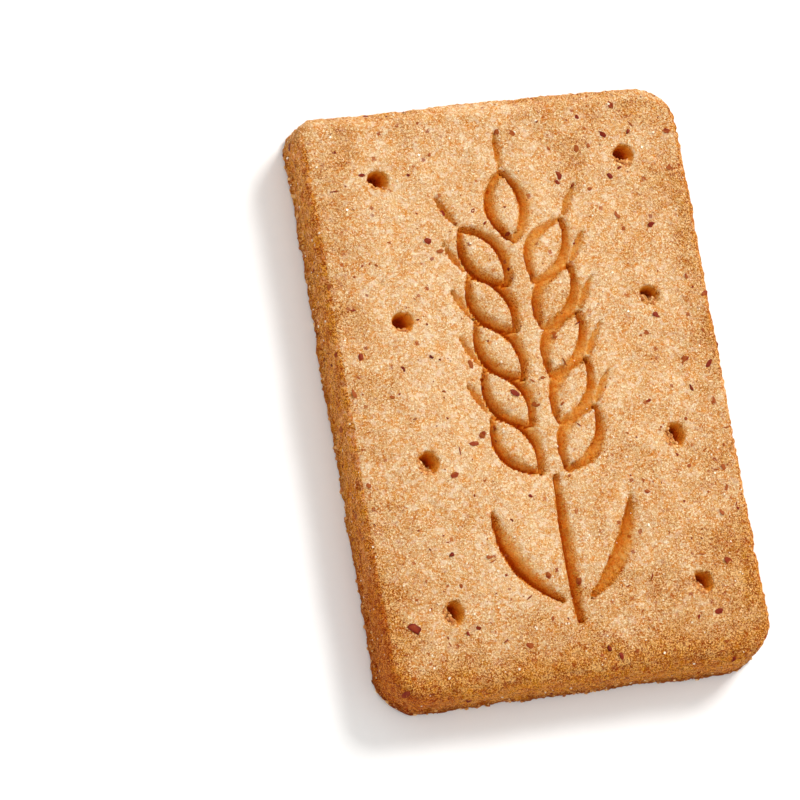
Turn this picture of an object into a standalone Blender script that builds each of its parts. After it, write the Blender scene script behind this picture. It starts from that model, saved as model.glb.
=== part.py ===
"""A rectangular whole grain biscuit, lying on its flat base with the stamped face up.

Metres, +Z up. X runs across the biscuit, Y along it, and the origin is the middle of the base.
One baked body carries everything: a rounded shoulder, a foot that has spread on the oven band,
two rows of docking holes, a stamped ear of wheat and the crumbs that cling to the foot."""

import math
import random

import bmesh
import bpy
from mathutils import Matrix, Vector, noise

# Driving dimensions of the baked body.
LENGTH = 0.0652
WIDTH = 0.0433
THICKNESS = 0.0065
SIDE_SHOULDER = 0.0010
END_SHOULDER = 0.0021
FOOT_SPREAD = 0.00028
FOOT_HEIGHT = 0.0013
FOOT_SHARE = 0.62
BASE_EDGE_RADIUS = 0.0002
CROWN_RISE = 0.0004
CROWN_EASE = 1.5

# Corner radii, no two alike: -X -Y, +X -Y, +X +Y and -X +Y.
CORNER_RADII = (0.0044, 0.0050, 0.0050, 0.0030)

# Unevenness left by rolling and baking.
SWELL_SIZE = 0.0110
SWELL_HEIGHT = 0.00022
WANDER_SIZE = 0.0140
WANDER_REACH = 0.00028
WANDER_SEED = 5
CRAG_SIZE = 0.0026
CRAG_HEIGHT = 0.00007

# Cells of the body: some to each corner, the rest between the corners, and rows up the side.
CORNER_CELL_REACH = 0.0042
CORNER_CELLS = 4
MIDDLE_CELLS_X = 8
MIDDLE_CELLS_Y = 13
WALL_ROWS = 3
SHOULDER_ROWS = 4

# The die, with its pins and its stamp, came down a little off the middle of the dough.
DIE_SHIFT = Vector((0.00040, 0.00060))

# Docking holes: two rows of four, drawn slightly out of pitch as the dough shrank.
HOLE_ROW_X = 0.0139
HOLE_PLACES_Y = (-0.02387, -0.00765, 0.00788, 0.02364)
HOLE_MOUTH_RADIUS = 0.00112
HOLE_NECK_RADIUS = 0.00086
HOLE_FOOT_RADIUS = 0.00060
HOLE_NECK_DEPTH = 0.00055
HOLE_FOOT_DEPTH = 0.00210
HOLE_DEPTH = 0.00260
HOLE_SIDES = 12
PIN_OVER_FACE = 0.0012
PIN_MERGE = 0.00002

# The stamped ear of wheat: grains in pairs up a stalk, each with its bristle, and two blades.
# A grain is two bowed grooves round a raised island.
GROOVE_WIDTH = 0.00150
GROOVE_DEPTH = 0.00085
GRAIN_PAIRS = 5
GRAIN_PITCH = 0.0052
GRAIN_LENGTH = 0.0078
GRAIN_WIDTH = 0.0039
GRAIN_LEAN = math.radians(33)
GRAIN_OFFSET = 0.0036
FIRST_GRAIN_Y = -0.0067
TIP_GRAIN_GAP = 0.0053
BRISTLE_LENGTH = 0.0037
BRISTLE_WIDTH = 0.00095
BRISTLE_DEPTH = 0.00065
BRISTLE_LEAN = math.radians(30)
BRISTLE_GAP = 0.0007
STALK_TOP_Y = -0.0107
STALK_FOOT_Y = -0.0262
STALK_WIDTH = 0.0016
BLADE_LENGTH = 0.0125
BLADE_WIDTH = 0.0022
BLADE_LEAN = math.radians(30)
BLADE_FOOT_Y = -0.0240
BLADE_FOOT_X = 0.0016
BLADE_BEND = 0.0014
GRAIN_ENDS = (0.5, 0.4)
BRISTLE_ENDS = (0.6, 0.3)
STALK_ENDS = (0.7, 0.5)
BLADE_ENDS = (0.3, 0.1)
STROKE_POINTS = 6
STROKE_SIDE_STEPS = 2
CAP_WELD = 0.000001

# The ragged skirt of crumbs round the foot.
SKIRT_POINTS = 184
SKIRT_ROOT = 0.0017
SKIRT_REACH = 0.00007
SKIRT_CLUMP_SIZE = 0.0021
SKIRT_CLUMP = 0.00024
SKIRT_JAG = 0.00013
SKIRT_HEIGHTS = (0.00012, 0.00022, 0.00050, 0.00100)
SKIRT_HEIGHT_JAG = 0.00014
SKIRT_LOWEST_JAG = -0.6
SKIRT_SEED = 3
FOOT_CRUMBS = 44
CRUMB_SMALLEST = 0.00026
CRUMB_LARGEST = 0.00052
CRUMB_CLEARANCE = 0.00006
CRUMB_RISE = (0.95, 1.6)
CRUMB_INSET = (0.3, 0.9)
CRUMB_STRETCH = (0.75, 1.25)
CRUMB_ROUGHNESS = (0.8, 1.15)
CRUMB_SEED = 7

# Small pits where crumbs have come away from the face.
PITS = 12
PIT_RADIUS = 0.00042
PIT_SPREAD = (0.7, 1.3)
PIT_CENTRE_RISE = 0.25
PIT_REACH_X = 0.0175
PIT_REACH_Y = 0.0285
STAMP_HALF_WIDTH = 0.0095
HOLE_CLEARANCE = 0.0022
PIT_SEED = 21

CRUST_COLOUR = (0.72, 0.42, 0.18, 1.0)
CRUST_ROUGHNESS = 0.78
SHARP_ANGLE = math.radians(35)


def clear_scene():
    for old in list(bpy.data.objects):
        bpy.data.objects.remove(old, do_unlink=True)


def collection_named(name):
    made = bpy.data.collections.new(name)
    bpy.context.scene.collection.children.link(made)
    return made


def object_from(bm, name, collection):
    mesh = bpy.data.meshes.new(name)
    bm.to_mesh(mesh)
    bm.free()
    made = bpy.data.objects.new(name, mesh)
    collection.objects.link(made)
    return made


def hide_cutter(cutter):
    cutter.hide_render = True
    cutter.display_type = "WIRE"


# The body's section, from the base up and over the shoulder.


def side_section(shoulder):
    """(inset from the foot's outline, height) of each row up a side with that shoulder radius."""
    wall_top = THICKNESS - CROWN_RISE - shoulder
    rows = [(BASE_EDGE_RADIUS, 0.0), (0.0, 2 * BASE_EDGE_RADIUS)]
    for k in range(WALL_ROWS):
        share = k / (WALL_ROWS - 1)
        inset = FOOT_SPREAD * (FOOT_SHARE + (1 - FOOT_SHARE) * share)
        rows.append((inset, FOOT_HEIGHT + (wall_top - FOOT_HEIGHT) * share))
    for k in range(1, SHOULDER_ROWS + 1):
        turn = math.radians(90) * k / SHOULDER_ROWS
        inset = FOOT_SPREAD + shoulder * (1 - math.cos(turn))
        rows.append((inset, wall_top + shoulder * math.sin(turn)))
    return rows


def corner_radius(across, along):
    """Radius of the nearest corner, passing smoothly from one to the next."""
    near_left, near_right, far_right, far_left = CORNER_RADII
    near = near_left + (near_right - near_left) * (across + 1) / 2
    far = far_left + (far_right - far_left) * (across + 1) / 2
    return near + (far - near) * (along + 1) / 2


def stretched_mark(mark, full_half, half, radius):
    """Moves a cut's place so that the corner cells just cover this corner."""
    straight = (full_half - CORNER_CELL_REACH) / full_half
    size = abs(mark)
    if size <= straight:
        moved = size / straight * (half - radius) / half
    else:
        moved = 1 - (1 - size) / (1 - straight) * radius / half
    return math.copysign(moved, mark)


def rounded_plan(x, y, half_x, half_y, radius):
    """Moves a point of a rectangle into the same rectangle with rounded corners. Also gives
    how far the outline there faces along Y: 0 on the long sides, 1 on the ends."""
    a = max(abs(x) - (half_x - radius), 0.0) / radius
    b = max(abs(y) - (half_y - radius), 0.0) / radius
    facing_x = a * math.sqrt(max(0.0, 1 - b * b / 2))
    facing_y = b * math.sqrt(max(0.0, 1 - a * a / 2))
    if a > 0 and b > 0:
        x = math.copysign(half_x - radius * (1 - facing_x), x)
        y = math.copysign(half_y - radius * (1 - facing_y), y)
    total = facing_x**2 + facing_y**2
    return x, y, facing_y**2 / total if total > 0 else 0.0


def crown(x, y):
    """Height of the face over its edge, as a share of the crown's rise. It eases out there."""
    across = min(1.0, abs(x) / (WIDTH / 2 - FOOT_SPREAD - SIDE_SHOULDER))
    along = min(1.0, abs(y) / (LENGTH / 2 - FOOT_SPREAD - END_SHOULDER))
    return ((1 - across**4) * (1 - along**4)) ** CROWN_EASE


def unevenness(x, y, z):
    """How far baking has moved a point: sideways wander, then long swells and small crags."""
    wander = noise.noise_vector(Vector((x, y, z)) / WANDER_SIZE) * WANDER_REACH
    swell = noise.noise(Vector((x, y, 0.5 * z)) / SWELL_SIZE) * SWELL_HEIGHT
    crag = noise.noise(Vector((x, y, z)) / CRAG_SIZE) * CRAG_HEIGHT
    rise = (swell + crag) * min(1.0, z / THICKNESS) ** 2
    return Vector((wander.x + crag, wander.y - crag, rise))


def cell_marks(half, middle_cells):
    """Places from -1 to 1 of the cuts between cells, closest over the rounded corners."""
    straight = (half - CORNER_CELL_REACH) / half
    corner = [straight + (1 - straight) * k / CORNER_CELLS for k in range(1, CORNER_CELLS)]
    middle = [straight * (2 * k / middle_cells - 1) for k in range(middle_cells + 1)]
    return [-mark for mark in corner] + middle + corner


def box_of_cells(marks_of_axes):
    """A cube from -1 to 1 whose faces are cut at the marks along X, Y and Z."""
    bm = bmesh.new()
    bmesh.ops.create_cube(bm, size=2.0)
    for axis, marks in enumerate(marks_of_axes):
        normal = Vector((0, 0, 0))
        normal[axis] = 1.0
        for mark in marks:
            everything = bm.verts[:] + bm.edges[:] + bm.faces[:]
            bmesh.ops.bisect_plane(bm, geom=everything, plane_co=normal * mark, plane_no=normal)
    return bm


def make_body(collection):
    side_rows = side_section(SIDE_SHOULDER)
    end_rows = side_section(END_SHOULDER)
    steps = len(side_rows) - 1
    bm = box_of_cells((
        cell_marks(WIDTH / 2, MIDDLE_CELLS_X),
        cell_marks(LENGTH / 2, MIDDLE_CELLS_Y),
        [2 * k / steps - 1 for k in range(1, steps)],
    ))
    for vert in bm.verts:
        across, along, up = vert.co
        row = round((up + 1) / 2 * steps)
        side_inset, side_height = side_rows[row]
        end_inset, end_height = end_rows[row]
        half_x = WIDTH / 2 - side_inset
        half_y = LENGTH / 2 - end_inset
        radius = corner_radius(across, along) - (side_inset + end_inset) / 2
        x = half_x * stretched_mark(across, WIDTH / 2, half_x, radius)
        y = half_y * stretched_mark(along, LENGTH / 2, half_y, radius)
        x, y, end_share = rounded_plan(x, y, half_x, half_y, radius)
        height = side_height + (end_height - side_height) * end_share
        if row == steps:
            height += CROWN_RISE * crown(x, y)
        vert.co = Vector((x, y, height)) + unevenness(x, y, height)
        if row == 0:
            vert.co.z = 0.0
    base = [face for face in bm.faces if all(vert.co.z == 0.0 for vert in face.verts)]
    bmesh.ops.dissolve_faces(bm, faces=base)
    return object_from(bm, "biscuit", collection)


def face_height(x, y):
    """Height of the stamped face at a place, swells included."""
    level = THICKNESS - CROWN_RISE + CROWN_RISE * crown(x, y)
    return level + unevenness(x, y, level).z


# Cutters for the docking holes and the stamp.


def make_hole_cutters(collection):
    """One turned pin, shared by all the holes."""
    outline = (
        (0.0, PIN_OVER_FACE),
        (HOLE_MOUTH_RADIUS, PIN_OVER_FACE),
        (HOLE_MOUTH_RADIUS, 0.0),
        (HOLE_NECK_RADIUS, -HOLE_NECK_DEPTH),
        (HOLE_FOOT_RADIUS, -HOLE_FOOT_DEPTH),
        (0.0, -HOLE_DEPTH),
    )
    mesh = bpy.data.meshes.new("docking pin")
    edges = [(k, k + 1) for k in range(len(outline) - 1)]
    mesh.from_pydata([(r, 0.0, z) for r, z in outline], edges, [])
    for side in (-1, 1):
        for place_y in HOLE_PLACES_Y:
            x = side * HOLE_ROW_X + DIE_SHIFT.x
            y = place_y + DIE_SHIFT.y
            pin = bpy.data.objects.new("docking pin", mesh)
            pin.location = (x, y, face_height(x, y))
            collection.objects.link(pin)
            turn = pin.modifiers.new("turn", "SCREW")
            turn.steps = turn.render_steps = HOLE_SIDES
            turn.use_merge_vertices = True
            turn.merge_threshold = PIN_MERGE
            hide_cutter(pin)


def make_stroke(name, path, widths, depth, collection):
    """A groove of the stamp: a bar swept along a flat path, half of it sunk in the face."""
    curve = bpy.data.curves.new(name, "CURVE")
    curve.dimensions = "3D"
    curve.twist_mode = "Z_UP"
    curve.bevel_depth = max(widths) / 2
    curve.bevel_resolution = STROKE_SIDE_STEPS
    curve.use_fill_caps = True
    spline = curve.splines.new("POLY")
    spline.points.add(len(path) - 1)
    for point, place, width in zip(spline.points, path, widths):
        point.co = (place.x, place.y, 0.0, 1.0)
        point.radius = width / max(widths)
    bar = bpy.data.objects.new(name, curve)
    collection.objects.link(bar)
    bpy.context.view_layer.update()
    graph = bpy.context.evaluated_depsgraph_get()
    swept = bpy.data.meshes.new_from_object(bar.evaluated_get(graph))
    bpy.data.objects.remove(bar, do_unlink=True)
    bm = bmesh.new()
    bm.from_mesh(swept)
    bmesh.ops.remove_doubles(bm, verts=bm.verts, dist=CAP_WELD)
    bmesh.ops.recalc_face_normals(bm, faces=bm.faces)
    for vert in bm.verts:
        vert.co.z = vert.co.z * depth / curve.bevel_depth + face_height(vert.co.x, vert.co.y)
    hide_cutter(object_from(bm, name, collection))


def line_path(foot, lean, length, bend):
    """A line of the stamp from its foot, leaning from +Y towards +X and bowed sideways."""
    foot = foot + DIE_SHIFT
    path = []
    for k in range(STROKE_POINTS):
        share = k / (STROKE_POINTS - 1)
        bow = bend * 4 * share * (1 - share)
        path.append(foot + Vector((
            share * length * math.sin(lean) + bow * math.cos(lean),
            share * length * math.cos(lean) - bow * math.sin(lean),
        )))
    return path


def tapered(width, ends):
    """Widths along a line: full in the middle, finer towards the foot and the tip."""
    foot_share, tip_share = ends
    widths = []
    for k in range(STROKE_POINTS):
        share = k / (STROKE_POINTS - 1)
        end = foot_share if share < 0.5 else tip_share
        widths.append(width * (end + (1 - end) * math.sin(math.pi * share)))
    return widths


def make_grain(centre, lean, bristle_lean, collection):
    along = Vector((math.sin(lean), math.cos(lean)))
    foot = centre - along * GRAIN_LENGTH / 2
    for side in (-1, 1):
        edge = line_path(foot, lean, GRAIN_LENGTH, side * GRAIN_WIDTH / 2)
        make_stroke("grain", edge, tapered(GROOVE_WIDTH, GRAIN_ENDS), GROOVE_DEPTH, collection)
    tip = centre + along * (GRAIN_LENGTH / 2 + BRISTLE_GAP)
    bristle = line_path(tip, bristle_lean, BRISTLE_LENGTH, 0.0)
    widths = tapered(BRISTLE_WIDTH, BRISTLE_ENDS)
    make_stroke("bristle", bristle, widths, BRISTLE_DEPTH, collection)


def make_stamp(collection):
    for pair in range(GRAIN_PAIRS):
        y = FIRST_GRAIN_Y + pair * GRAIN_PITCH
        for side in (-1, 1):
            centre = Vector((side * GRAIN_OFFSET, y))
            make_grain(centre, side * GRAIN_LEAN, side * BRISTLE_LEAN, collection)
    top = FIRST_GRAIN_Y + (GRAIN_PAIRS - 1) * GRAIN_PITCH + TIP_GRAIN_GAP
    make_grain(Vector((0.0, top)), 0.0, 0.0, collection)
    stalk = line_path(Vector((0.0, STALK_FOOT_Y)), 0.0, STALK_TOP_Y - STALK_FOOT_Y, 0.0)
    make_stroke("stalk", stalk, tapered(STALK_WIDTH, STALK_ENDS), GROOVE_DEPTH, collection)
    for side in (-1, 1):
        foot = Vector((side * BLADE_FOOT_X, BLADE_FOOT_Y))
        blade = line_path(foot, side * BLADE_LEAN, BLADE_LENGTH, side * BLADE_BEND)
        make_stroke("blade", blade, tapered(BLADE_WIDTH, BLADE_ENDS), GROOVE_DEPTH, collection)


def make_crumb(name, centre, radius, draw, collection):
    """A rough crumb: an icosahedron with its corners pushed in and out."""
    bm = bmesh.new()
    bmesh.ops.create_icosphere(bm, subdivisions=1, radius=radius)
    stretch = Vector([draw.uniform(*CRUMB_STRETCH) for _ in range(3)])
    for vert in bm.verts:
        vert.co = Vector(a * b for a, b in zip(vert.co, stretch)) * draw.uniform(*CRUMB_ROUGHNESS)
    spin = Matrix.Rotation(draw.uniform(0, math.tau), 4, Vector((draw.random(), 1, draw.random())))
    bm.transform(Matrix.Translation(centre) @ spin)
    lowest = min(vert.co.z for vert in bm.verts)
    bm.transform(Matrix.Translation((0, 0, max(0.0, CRUMB_CLEARANCE - lowest))))
    return object_from(bm, name, collection)


def outline_point(share):
    """Point of the foot's outline and its outward direction, by the share of the way round."""
    sides = []
    for quarter in range(4):
        turn = math.radians(90) * quarter
        forward = Vector((math.cos(turn), math.sin(turn)))
        outward = Vector((math.sin(turn), -math.cos(turn)))
        first, last = CORNER_RADII[quarter], CORNER_RADII[(quarter + 1) % 4]
        full = (WIDTH, LENGTH)[quarter % 2]
        middle = outward * (LENGTH, WIDTH)[quarter % 2] / 2
        start = middle - forward * (full / 2 - first)
        sides.append((start, forward, outward, full - first - last, last))
    way = share * sum(straight + last * math.pi / 2 for *_, straight, last in sides)
    for start, forward, outward, straight, last in sides:
        if way < straight:
            return start + forward * way, outward
        way -= straight
        if way < last * math.pi / 2:
            bent = outward.copy()
            bent.rotate(Matrix.Rotation(way / last, 2))
            return start + forward * straight + (bent - outward) * last, bent
        way -= last * math.pi / 2
    return outline_point(0.0)


def make_skirt(collection):
    """The ragged edge that spread on the oven band: a ring whose rim runs in and out."""
    draw = random.Random(SKIRT_SEED)
    bm = bmesh.new()
    bmesh.ops.create_circle(bm, segments=SKIRT_POINTS, radius=1.0)
    rims = len(SKIRT_HEIGHTS)
    for _ in range(rims - 1):
        top = max(vert.co.z for vert in bm.verts)
        edges = [e for e in bm.edges if all(abs(v.co.z - top) < 0.5 for v in e.verts)]
        grown = bmesh.ops.extrude_edge_only(bm, edges=edges)["geom"]
        for item in grown:
            if isinstance(item, bmesh.types.BMVert):
                item.co.z += 1.0
    bmesh.ops.holes_fill(bm, edges=[edge for edge in bm.edges if edge.is_boundary], sides=0)
    jags = [[draw.uniform(-1, 1) for _ in range(SKIRT_POINTS)] for _ in range(2 * rims)]
    for vert in bm.verts:
        rim = round(vert.co.z)
        share = (math.atan2(vert.co.y, vert.co.x) / math.tau) % 1.0
        step = round(share * SKIRT_POINTS) % SKIRT_POINTS
        point, outward = outline_point(share)
        height = SKIRT_HEIGHTS[rim]
        reach = -SKIRT_ROOT
        if 0 < rim < rims - 1:
            clump = noise.noise(Vector((*point, height)) / SKIRT_CLUMP_SIZE)
            reach = SKIRT_REACH + clump * SKIRT_CLUMP + jags[rim][step] * SKIRT_JAG
            lift = max(SKIRT_LOWEST_JAG, jags[rims + rim][step]) * SKIRT_HEIGHT_JAG
            height += lift * rim / (rims - 2)
        vert.co = Vector((*(point + outward * reach), height))
    bmesh.ops.recalc_face_normals(bm, faces=bm.faces)
    object_from(bm, "skirt", collection)


def make_foot_crumbs(collection):
    draw = random.Random(CRUMB_SEED)
    for k in range(FOOT_CRUMBS):
        point, outward = outline_point((k + draw.uniform(0.1, 0.9)) / FOOT_CRUMBS)
        radius = CRUMB_SMALLEST + (CRUMB_LARGEST - CRUMB_SMALLEST) * draw.random() ** 2
        rise = radius * draw.uniform(*CRUMB_RISE)
        place = point - outward * radius * draw.uniform(*CRUMB_INSET)
        make_crumb("foot crumb", Vector((*place, rise)), radius, draw, collection)


def make_pits(collection):
    """Small hollows in the face, clear of the stamp and the holes."""
    draw = random.Random(PIT_SEED)
    while len(collection.objects) < PITS:
        x = draw.uniform(-PIT_REACH_X, PIT_REACH_X)
        y = draw.uniform(-PIT_REACH_Y, PIT_REACH_Y)
        near_row = abs(abs(x) - HOLE_ROW_X) < HOLE_CLEARANCE
        if abs(x) < STAMP_HALF_WIDTH or near_row:
            continue
        radius = PIT_RADIUS * draw.uniform(*PIT_SPREAD)
        place = Vector((x, y, face_height(x, y) + PIT_CENTRE_RISE * radius))
        hide_cutter(make_crumb("pit", place, radius, draw, collection))


def join_or_cut(body, others, operation):
    """Applies one Boolean on a collection, then removes what it used."""
    change = body.modifiers.new(others.name, "BOOLEAN")
    change.operation = operation
    change.operand_type = "COLLECTION"
    change.collection = others
    change.solver = "EXACT"
    bpy.context.view_layer.update()
    graph = bpy.context.evaluated_depsgraph_get()
    changed = bpy.data.meshes.new_from_object(body.evaluated_get(graph))
    body.modifiers.clear()
    body.data = changed
    for other in list(others.objects):
        bpy.data.objects.remove(other, do_unlink=True)
    bpy.data.collections.remove(others)


def crust_material():
    material = bpy.data.materials.new("baked whole grain crust")
    material.use_nodes = True
    surface = material.node_tree.nodes["Principled BSDF"]
    surface.inputs["Base Color"].default_value = CRUST_COLOUR
    surface.inputs["Roughness"].default_value = CRUST_ROUGHNESS
    surface.inputs["Metallic"].default_value = 0.0
    return material


def make_biscuit():
    clear_scene()
    noise.seed_set(WANDER_SEED)
    parts = collection_named("whole grain biscuit")
    body = make_body(parts)

    crumbs = collection_named("foot crumbs")
    make_skirt(crumbs)
    make_foot_crumbs(crumbs)
    join_or_cut(body, crumbs, "UNION")

    cutters = collection_named("holes and stamp")
    make_hole_cutters(cutters)
    make_stamp(cutters)
    join_or_cut(body, cutters, "DIFFERENCE")

    pits = collection_named("pits")
    make_pits(pits)
    join_or_cut(body, pits, "DIFFERENCE")

    body.data.name = "biscuit"
    body.data.materials.clear()
    body.data.materials.append(crust_material())
    body.data.shade_smooth()
    body.data.set_sharp_from_angle(angle=SHARP_ANGLE)


make_biscuit()
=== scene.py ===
"""A whole grain biscuit: its baked body with the stamped ear of wheat, and what clings to it."""

import math

import bmesh
import bpy
import numpy as np
from mathutils import Euler, Matrix, Vector, noise


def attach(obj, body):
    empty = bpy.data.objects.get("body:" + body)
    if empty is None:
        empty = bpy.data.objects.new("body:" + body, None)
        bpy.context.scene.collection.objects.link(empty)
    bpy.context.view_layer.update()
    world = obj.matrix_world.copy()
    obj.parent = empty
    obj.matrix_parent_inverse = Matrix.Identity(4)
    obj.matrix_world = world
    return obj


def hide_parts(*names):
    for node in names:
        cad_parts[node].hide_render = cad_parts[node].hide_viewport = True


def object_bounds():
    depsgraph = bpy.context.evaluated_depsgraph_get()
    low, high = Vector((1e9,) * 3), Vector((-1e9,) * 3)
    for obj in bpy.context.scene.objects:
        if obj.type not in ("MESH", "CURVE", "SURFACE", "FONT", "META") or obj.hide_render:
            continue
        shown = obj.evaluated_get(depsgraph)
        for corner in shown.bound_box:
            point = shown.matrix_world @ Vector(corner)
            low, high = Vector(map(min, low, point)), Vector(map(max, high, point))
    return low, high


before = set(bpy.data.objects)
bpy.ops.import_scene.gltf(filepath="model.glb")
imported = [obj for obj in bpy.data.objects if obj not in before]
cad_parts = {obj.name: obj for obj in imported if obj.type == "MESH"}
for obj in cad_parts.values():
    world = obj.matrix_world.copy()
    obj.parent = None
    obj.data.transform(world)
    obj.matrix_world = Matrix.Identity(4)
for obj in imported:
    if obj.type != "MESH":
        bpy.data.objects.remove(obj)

cad_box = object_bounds()
MM = 0.001

# The biscuit's form, from the same sizes as its solid.
LENGTH = 65.2 * MM
WIDTH = 43.3 * MM
THICKNESS = 6.5 * MM
CORNER_RADII = (4.4 * MM, 5.0 * MM, 5.0 * MM, 3.0 * MM)
SIDE_SHOULDER = 1.0 * MM
END_SHOULDER = 2.1 * MM
FOOT_SPREAD = 0.28 * MM
FOOT_HEIGHT = 1.3 * MM
FOOT_SHARE = 0.62
BASE_EDGE_RADIUS = 0.2 * MM
CROWN_RISE = 0.4 * MM
CROWN_EASE = 1.5
FACE_HALF_X = WIDTH / 2 - FOOT_SPREAD - SIDE_SHOULDER
FACE_HALF_Y = LENGTH / 2 - FOOT_SPREAD - END_SHOULDER
SWELL_SIZE = 11.0 * MM
SWELL_HEIGHT = 0.22 * MM
WANDER_SIZE = 14.0 * MM
WANDER_REACH = 0.28 * MM
WANDER_SEED = 5
CRAG_SIZE = 2.6 * MM
CRAG_HEIGHT = 0.07 * MM
EDGE_WANDER_REACH = 2.4 * MM

# Mesh of the body: a cell of the face, so that lines of the grid cross every docking hole.
CELL = 0.232 * MM
HOLE_PATCH_CELLS = 10
ARC_ROWS = 11
WALL_ROWS = 12
FOOT_ROWS = 8
INWARD = 0.045 * MM

# How far the pieces stay inside the solid's box.
BODY_ROOM = 0.03 * MM
PIECE_ROOM = 0.01 * MM

# The die came down a little off the middle of the dough.
DIE_SHIFT = (0.40 * MM, 0.60 * MM)

# Docking holes: places in cells from the die's middle.
HOLE_CELLS_X = 60
HOLE_CELLS_Y = (-103, -33, 34, 102)
HOLE_DEPTH = 2.6 * MM
HOLE_MOUTH_RADIUS = 1.12 * MM
HOLE_NECK_RADIUS = 0.86 * MM
HOLE_RINGS = (0.0, 0.25, 0.50, 0.68, 0.86, 1.12, 1.42)
HOLE_REACH = 2.2 * MM
HOLE_DARKEST = 1.9 * MM
HOLE_DRAG = 0.46 * MM
HOLE_DRAG_WAY = math.radians(-10)
HOLE_SHELF_DEPTH = 0.48 * MM

# Each hole's own form, from the near end to the far one and first on the -X side: which way
# its shelf of drawn-in dough lies, how much of the mouth that fills, how long the mouth is.
HOLE_FORMS = (
    (214, 0.80, 1.18), (224, 0.72, 1.14), (240, 0.40, 0.95), (232, 0.52, 0.98),
    (212, 0.82, 1.08), (200, 0.84, 1.20), (250, 0.86, 0.94), (250, 0.68, 1.10),
)

# Nicks where a crumb has come off: place, radius and the way that each one opens.
NICK_DEPTH = 0.26 * MM
NICK_HALF_WIDTH = 0.15 * MM
NICKS = (
    (-13.55 * MM, -25.90 * MM, 0.55 * MM, 260), (-13.70 * MM, -11.20 * MM, 0.42 * MM, 250),
    (11.30 * MM, -8.40 * MM, 0.50 * MM, 300), (-15.20 * MM, 12.60 * MM, 0.40 * MM, 80),
    (15.60 * MM, 8.30 * MM, 0.46 * MM, 200),
)

# The stamped ear of wheat.
GROOVE_WIDTH = 1.50 * MM
GROOVE_DEPTH = 0.85 * MM
GRAIN_PAIRS = 5
GRAIN_PITCH = 5.2 * MM
GRAIN_LENGTH = 7.8 * MM
GRAIN_WIDTH = 3.9 * MM
GRAIN_LEAN = math.radians(33)
GRAIN_OFFSET = 3.6 * MM
FIRST_GRAIN_Y = -6.7 * MM
TIP_GRAIN_GAP = 5.3 * MM
BRISTLE_LENGTH = 3.7 * MM
BRISTLE_WIDTH = 0.95 * MM
BRISTLE_DEPTH = 0.65 * MM
BRISTLE_LEAN = math.radians(30)
BRISTLE_GAP = 0.7 * MM
STALK_TOP_Y = -10.7 * MM
STALK_FOOT_Y = -26.2 * MM
STALK_WIDTH = 1.6 * MM
BLADE_LENGTH = 12.5 * MM
BLADE_WIDTH = 2.2 * MM
BLADE_LEAN = math.radians(30)
BLADE_FOOT_Y = -24.0 * MM
BLADE_FOOT_X = 1.6 * MM
BLADE_BEND = 1.4 * MM
STROKE_SAMPLES = 64
STROKE_UNEVENNESS = 0.10

# The die was pulled off sideways, towards this way: the far side of each groove slopes.
STAMP_DRAG_WAY = math.radians(42)
STAMP_SLOPE = 1.30
STAMP_SHOULDER = 0.15 * MM
STAMP_SHOULDER_REACH = 0.50 * MM
STAMP_REACH = 3 * MM

# Noise of each kind of unevenness: the size of its lumps, and where in the noise it starts.
DENTS = (3.0 * MM, 41.0)
COARSE = (1.5 * MM, 3.0)
SANDY = (0.62 * MM, 5.0)
FINE = (0.38 * MM, 8.0)
POCKS = (0.90 * MM, 14.0)
STROKE_WOBBLE = (1.3 * MM, 11.0)
SKIRT_CLUMPS = (2.1 * MM, 0.0)
SKIRT_JAGS = (0.75 * MM, 21.0)
SKIRT_NICKS = (0.40 * MM, 26.0)
BROWN_CLOUDS = (7.0 * MM, 31.0)
BROWN_BLOTCHES = (3.0 * MM, 36.0)

# Crumbly relief, in millimetres: on all the crust, and what the sides have besides. A pock
# starts and ends where its noise passes the two values.
DENT_HEIGHT = 0.070
COARSE_HEIGHT = 0.050
SANDY_HEIGHT = 0.028
FINE_HEIGHT = 0.014
POCK_DEPTH = 0.10
POCK_EDGE = (0.42, 0.75)
SIDE_SANDY_HEIGHT = 0.120
SIDE_FINE_HEIGHT = 0.080
SIDE_POCK_DEPTH = 0.20
SIDE_POCK_EDGE = (0.26, 0.62)
CALM_IN_HOLLOWS = 0.45

# The skirt of crumb round the foot. Jags and nicks are in millimetres.
SKIRT_REACH = 0.07 * MM
SKIRT_CLUMP = 0.22 * MM
SKIRT_JAG = 0.13
SKIRT_NICK = 0.09
SKIRT_LIFT = 0.10 * MM
SKIRT_TOP = (0.75 * MM, 1.45 * MM)
SKIRT_AT_BASE = 0.45

# Browning, as steps along the crust's ramp of tones, and the stretches where each sets in.
EDGE_BROWN = 0.22
EDGE_BROWN_REACH = 9 * MM
FAR_EDGE_PALER = 0.50
FAR_STRETCH = (20 * MM, 31 * MM)
OUTER_BROWN = 0.10
NEAR_BROWN = 0.15
NEAR_STRETCH = (-5 * MM, -31 * MM)
RIGHT_BROWN = 0.05
RIGHT_STRETCH = (1 * MM, 12 * MM)
BAND_BROWN = 0.09
BAND_X = 9 * MM
BAND_WIDTH = 5 * MM
NEAR_END_BROWN = 0.26
NEAR_END_STRETCH = (0.5 * MM, 4.5 * MM)
SIDE_BROWN = 0.32
CLOUD_BROWN = 0.10
BLOTCH_BROWN = 0.06

# Where the side's tone starts, as the height of the normal, and where it fades out.
SIDE_FACING = (0.62, 0.97)
SHOULDER_FACING = (0.88, 0.995)
SHOULDER_STRETCH = (1.6 * MM, 2.8 * MM)
FAR_SIDE_PALER = 0.65
FAR_SIDE_STRETCH = (28.5 * MM, 31 * MM)
RIGHT_SIDE_PALER = 0.45
RIGHT_SIDE_STRETCH = (17 * MM, 20 * MM)

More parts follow.
